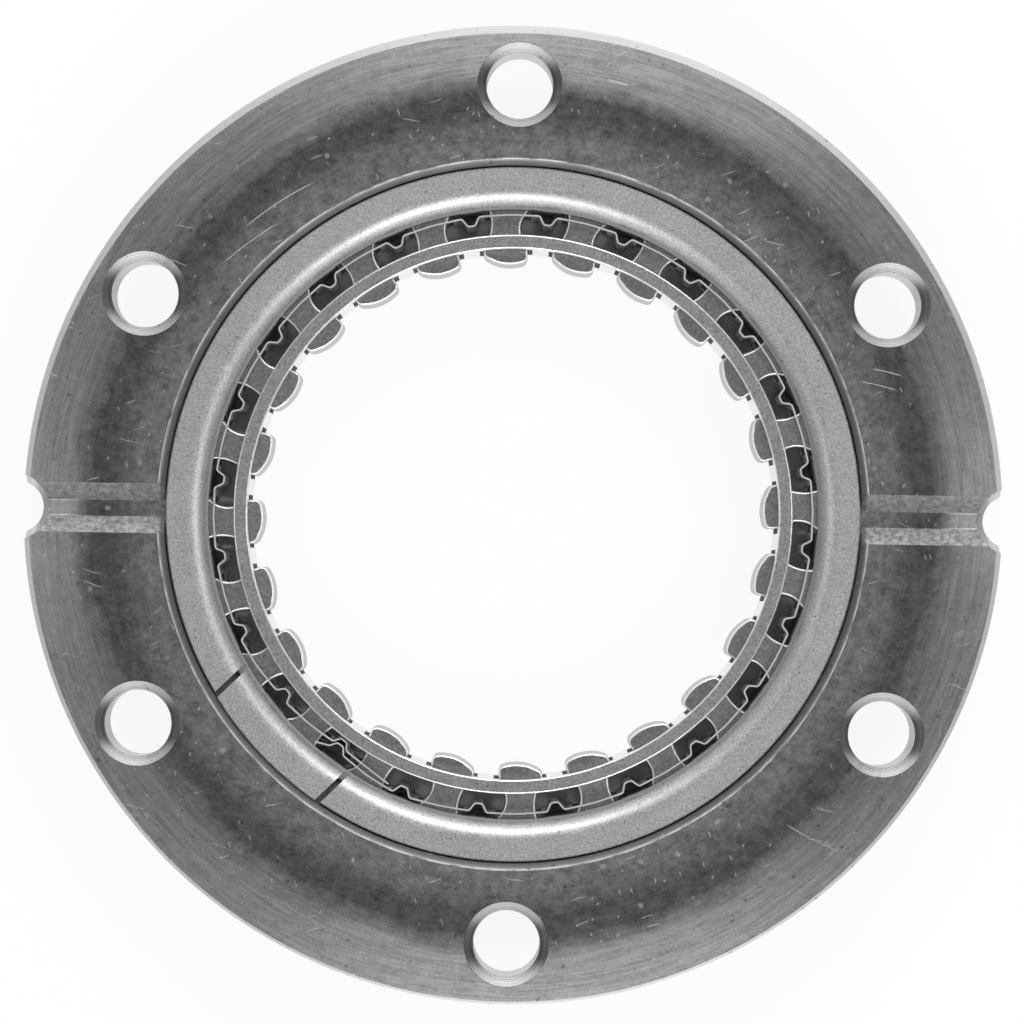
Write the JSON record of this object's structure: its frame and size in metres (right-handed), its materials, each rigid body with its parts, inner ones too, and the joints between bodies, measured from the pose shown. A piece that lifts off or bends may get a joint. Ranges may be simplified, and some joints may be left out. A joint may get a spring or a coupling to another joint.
{
  "type": "sprag clutch",
  "caption": "Flanged one-way sprag clutch: drilled outer race with oil grooves, twin cages, ribbon spring and a ring of rocking sprags.",
  "frame": {"origin": "on the clutch axis, in the plane of the hub's rear face, which is the lowest face of the part", "axes": "+Z along the clutch axis towards the grooved front face; +X and -X through the two oil grooves; +Y through a bolt hole"},
  "size_m": [0.1224, 0.1226, 0.015],
  "materials": {
    "race_steel": "turned and hardened alloy steel",
    "pressed_cage_steel": "matt tumbled pressed steel",
    "inner_cage_steel": "satin pressed steel",
    "spring_steel": "bright strip spring steel",
    "sprag_steel": "tumbled bearing steel"
  },
  "bodies": {
    "housing": {"housing": "race_steel"},
    "cage": {"outer_cage": "pressed_cage_steel", "ribbon_spring": "spring_steel"},
    "inner_cage": {"inner_cage": "inner_cage_steel"},
    "sprag_01": {"sprag_01": "sprag_steel"},
    "sprag_02": {"sprag_02": "sprag_steel"},
    "sprag_03": {"sprag_03": "sprag_steel"},
    "sprag_04": {"sprag_04": "sprag_steel"},
    "sprag_05": {"sprag_05": "sprag_steel"},
    "sprag_06": {"sprag_06": "sprag_steel"},
    "sprag_07": {"sprag_07": "sprag_steel"},
    "sprag_08": {"sprag_08": "sprag_steel"},
    "sprag_09": {"sprag_09": "sprag_steel"},
    "sprag_10": {"sprag_10": "sprag_steel"},
    "sprag_11": {"sprag_11": "sprag_steel"},
    "sprag_12": {"sprag_12": "sprag_steel"},
    "sprag_13": {"sprag_13": "sprag_steel"},
    "sprag_14": {"sprag_14": "sprag_steel"},
    "sprag_15": {"sprag_15": "sprag_steel"},
    "sprag_16": {"sprag_16": "sprag_steel"},
    "sprag_17": {"sprag_17": "sprag_steel"},
    "sprag_18": {"sprag_18": "sprag_steel"},
    "sprag_19": {"sprag_19": "sprag_steel"},
    "sprag_20": {"sprag_20": "sprag_steel"},
    "sprag_21": {"sprag_21": "sprag_steel"},
    "sprag_22": {"sprag_22": "sprag_steel"},
    "sprag_23": {"sprag_23": "sprag_steel"},
    "sprag_24": {"sprag_24": "sprag_steel"}
  },
  "joints": [
    {"name": "cage_spin", "type": "hinge", "parent": "housing", "child": "cage", "pos_m": [0, 0, 0.0078], "axis": [0, 0, 1], "continuous": true},
    {"name": "inner_cage_phase", "type": "hinge", "parent": "cage", "child": "inner_cage", "pos_m": [0, 0, 0.0078], "axis": [0, 0, -1], "range_deg": [0, 1.93], "stiffness_Nm_per_rad": 0.5, "springref_deg": -1.15},
    {"name": "sprag_01_tilt", "type": "hinge", "parent": "cage", "child": "sprag_01", "pos_m": [0.00806, 0.03806, 0.0078], "axis": [0, 0, 1], "range_deg": [0, 14]},
    {"name": "sprag_02_tilt", "type": "hinge", "parent": "cage", "child": "sprag_02", "pos_m": [0.01764, 0.03467, 0.0078], "axis": [0, 0, 1], "range_deg": [0, 14]},
    {"name": "sprag_03_tilt", "type": "hinge", "parent": "cage", "child": "sprag_03", "pos_m": [0.02601, 0.02893, 0.0078], "axis": [0, 0, 1], "range_deg": [0, 14]},
    {"name": "sprag_04_tilt", "type": "hinge", "parent": "cage", "child": "sprag_04", "pos_m": [0.03261, 0.02121, 0.0078], "axis": [0, 0, 1], "range_deg": [0, 14]},
    {"name": "sprag_05_tilt", "type": "hinge", "parent": "cage", "child": "sprag_05", "pos_m": [0.03699, 0.01205, 0.0078], "axis": [0, 0, 1], "range_deg": [0, 14]},
    {"name": "sprag_06_tilt", "type": "hinge", "parent": "cage", "child": "sprag_06", "pos_m": [0.03885, 0.00206, 0.0078], "axis": [0, 0, 1], "range_deg": [0, 14]},
    {"name": "sprag_07_tilt", "type": "hinge", "parent": "cage", "child": "sprag_07", "pos_m": [0.03806, -0.00806, 0.0078], "axis": [0, 0, 1], "range_deg": [0, 14]},
    {"name": "sprag_08_tilt", "type": "hinge", "parent": "cage", "child": "sprag_08", "pos_m": [0.03467, -0.01764, 0.0078], "axis": [0, 0, 1], "range_deg": [0, 14]},
    {"name": "sprag_09_tilt", "type": "hinge", "parent": "cage", "child": "sprag_09", "pos_m": [0.02893, -0.02601, 0.0078], "axis": [0, 0, 1], "range_deg": [0, 14]},
    {"name": "sprag_10_tilt", "type": "hinge", "parent": "cage", "child": "sprag_10", "pos_m": [0.02121, -0.03261, 0.0078], "axis": [0, 0, 1], "range_deg": [0, 14]},
    {"name": "sprag_11_tilt", "type": "hinge", "parent": "cage", "child": "sprag_11", "pos_m": [0.01205, -0.03699, 0.0078], "axis": [0, 0, 1], "range_deg": [0, 14]},
    {"name": "sprag_12_tilt", "type": "hinge", "parent": "cage", "child": "sprag_12", "pos_m": [0.00206, -0.03885, 0.0078], "axis": [0, 0, 1], "range_deg": [0, 14]},
    {"name": "sprag_13_tilt", "type": "hinge", "parent": "cage", "child": "sprag_13", "pos_m": [-0.00806, -0.03806, 0.0078], "axis": [0, 0, 1], "range_deg": [0, 14]},
    {"name": "sprag_14_tilt", "type": "hinge", "parent": "cage", "child": "sprag_14", "pos_m": [-0.01764, -0.03467, 0.0078], "axis": [0, 0, 1], "range_deg": [0, 14]},
    {"name": "sprag_15_tilt", "type": "hinge", "parent": "cage", "child": "sprag_15", "pos_m": [-0.02601, -0.02893, 0.0078], "axis": [0, 0, 1], "range_deg": [0, 14]},
    {"name": "sprag_16_tilt", "type": "hinge", "parent": "cage", "child": "sprag_16", "pos_m": [-0.03261, -0.02121, 0.0078], "axis": [0, 0, 1], "range_deg": [0, 14]},
    {"name": "sprag_17_tilt", "type": "hinge", "parent": "cage", "child": "sprag_17", "pos_m": [-0.03699, -0.01205, 0.0078], "axis": [0, 0, 1], "range_deg": [0, 14]},
    {"name": "sprag_18_tilt", "type": "hinge", "parent": "cage", "child": "sprag_18", "pos_m": [-0.03885, -0.00206, 0.0078], "axis": [0, 0, 1], "range_deg": [0, 14]},
    {"name": "sprag_19_tilt", "type": "hinge", "parent": "cage", "child": "sprag_19", "pos_m": [-0.03806, 0.00806, 0.0078], "axis": [0, 0, 1], "range_deg": [0, 14]},
    {"name": "sprag_20_tilt", "type": "hinge", "parent": "cage", "child": "sprag_20", "pos_m": [-0.03467, 0.01764, 0.0078], "axis": [0, 0, 1], "range_deg": [0, 14]},
    {"name": "sprag_21_tilt", "type": "hinge", "parent": "cage", "child": "sprag_21", "pos_m": [-0.02893, 0.02601, 0.0078], "axis": [0, 0, 1], "range_deg": [0, 14]},
    {"name": "sprag_22_tilt", "type": "hinge", "parent": "cage", "child": "sprag_22", "pos_m": [-0.02121, 0.03261, 0.0078], "axis": [0, 0, 1], "range_deg": [0, 14]},
    {"name": "sprag_23_tilt", "type": "hinge", "parent": "cage", "child": "sprag_23", "pos_m": [-0.01205, 0.03699, 0.0078], "axis": [0, 0, 1], "range_deg": [0, 14]},
    {"name": "sprag_24_tilt", "type": "hinge", "parent": "cage", "child": "sprag_24", "pos_m": [-0.00206, 0.03885, 0.0078], "axis": [0, 0, 1], "range_deg": [0, 14]}
  ],
  "couplings": [
    {"joint": "sprag_01_tilt", "follows": "inner_cage_phase", "ratio": 7.2503},
    {"joint": "sprag_02_tilt", "follows": "inner_cage_phase", "ratio": 7.2503},
    {"joint": "sprag_03_tilt", "follows": "inner_cage_phase", "ratio": 7.2503},
    {"joint": "sprag_04_tilt", "follows": "inner_cage_phase", "ratio": 7.2503},
    {"joint": "sprag_05_tilt", "follows": "inner_cage_phase", "ratio": 7.2503},
    {"joint": "sprag_06_tilt", "follows": "inner_cage_phase", "ratio": 7.2503},
    {"joint": "sprag_07_tilt", "follows": "inner_cage_phase", "ratio": 7.2503},
    {"joint": "sprag_08_tilt", "follows": "inner_cage_phase", "ratio": 7.2503},
    {"joint": "sprag_09_tilt", "follows": "inner_cage_phase", "ratio": 7.2503},
    {"joint": "sprag_10_tilt", "follows": "inner_cage_phase", "ratio": 7.2503},
    {"joint": "sprag_11_tilt", "follows": "inner_cage_phase", "ratio": 7.2503},
    {"joint": "sprag_12_tilt", "follows": "inner_cage_phase", "ratio": 7.2503},
    {"joint": "sprag_13_tilt", "follows": "inner_cage_phase", "ratio": 7.2503},
    {"joint": "sprag_14_tilt", "follows": "inner_cage_phase", "ratio": 7.2503},
    {"joint": "sprag_15_tilt", "follows": "inner_cage_phase", "ratio": 7.2503},
    {"joint": "sprag_16_tilt", "follows": "inner_cage_phase", "ratio": 7.2503},
    {"joint": "sprag_17_tilt", "follows": "inner_cage_phase", "ratio": 7.2503},
    {"joint": "sprag_18_tilt", "follows": "inner_cage_phase", "ratio": 7.2503},
    {"joint": "sprag_19_tilt", "follows": "inner_cage_phase", "ratio": 7.2503},
    {"joint": "sprag_20_tilt", "follows": "inner_cage_phase", "ratio": 7.2503},
    {"joint": "sprag_21_tilt", "follows": "inner_cage_phase", "ratio": 7.2503},
    {"joint": "sprag_22_tilt", "follows": "inner_cage_phase", "ratio": 7.2503},
    {"joint": "sprag_23_tilt", "follows": "inner_cage_phase", "ratio": 7.2503},
    {"joint": "sprag_24_tilt", "follows": "inner_cage_phase", "ratio": 7.2503}
  ]
}
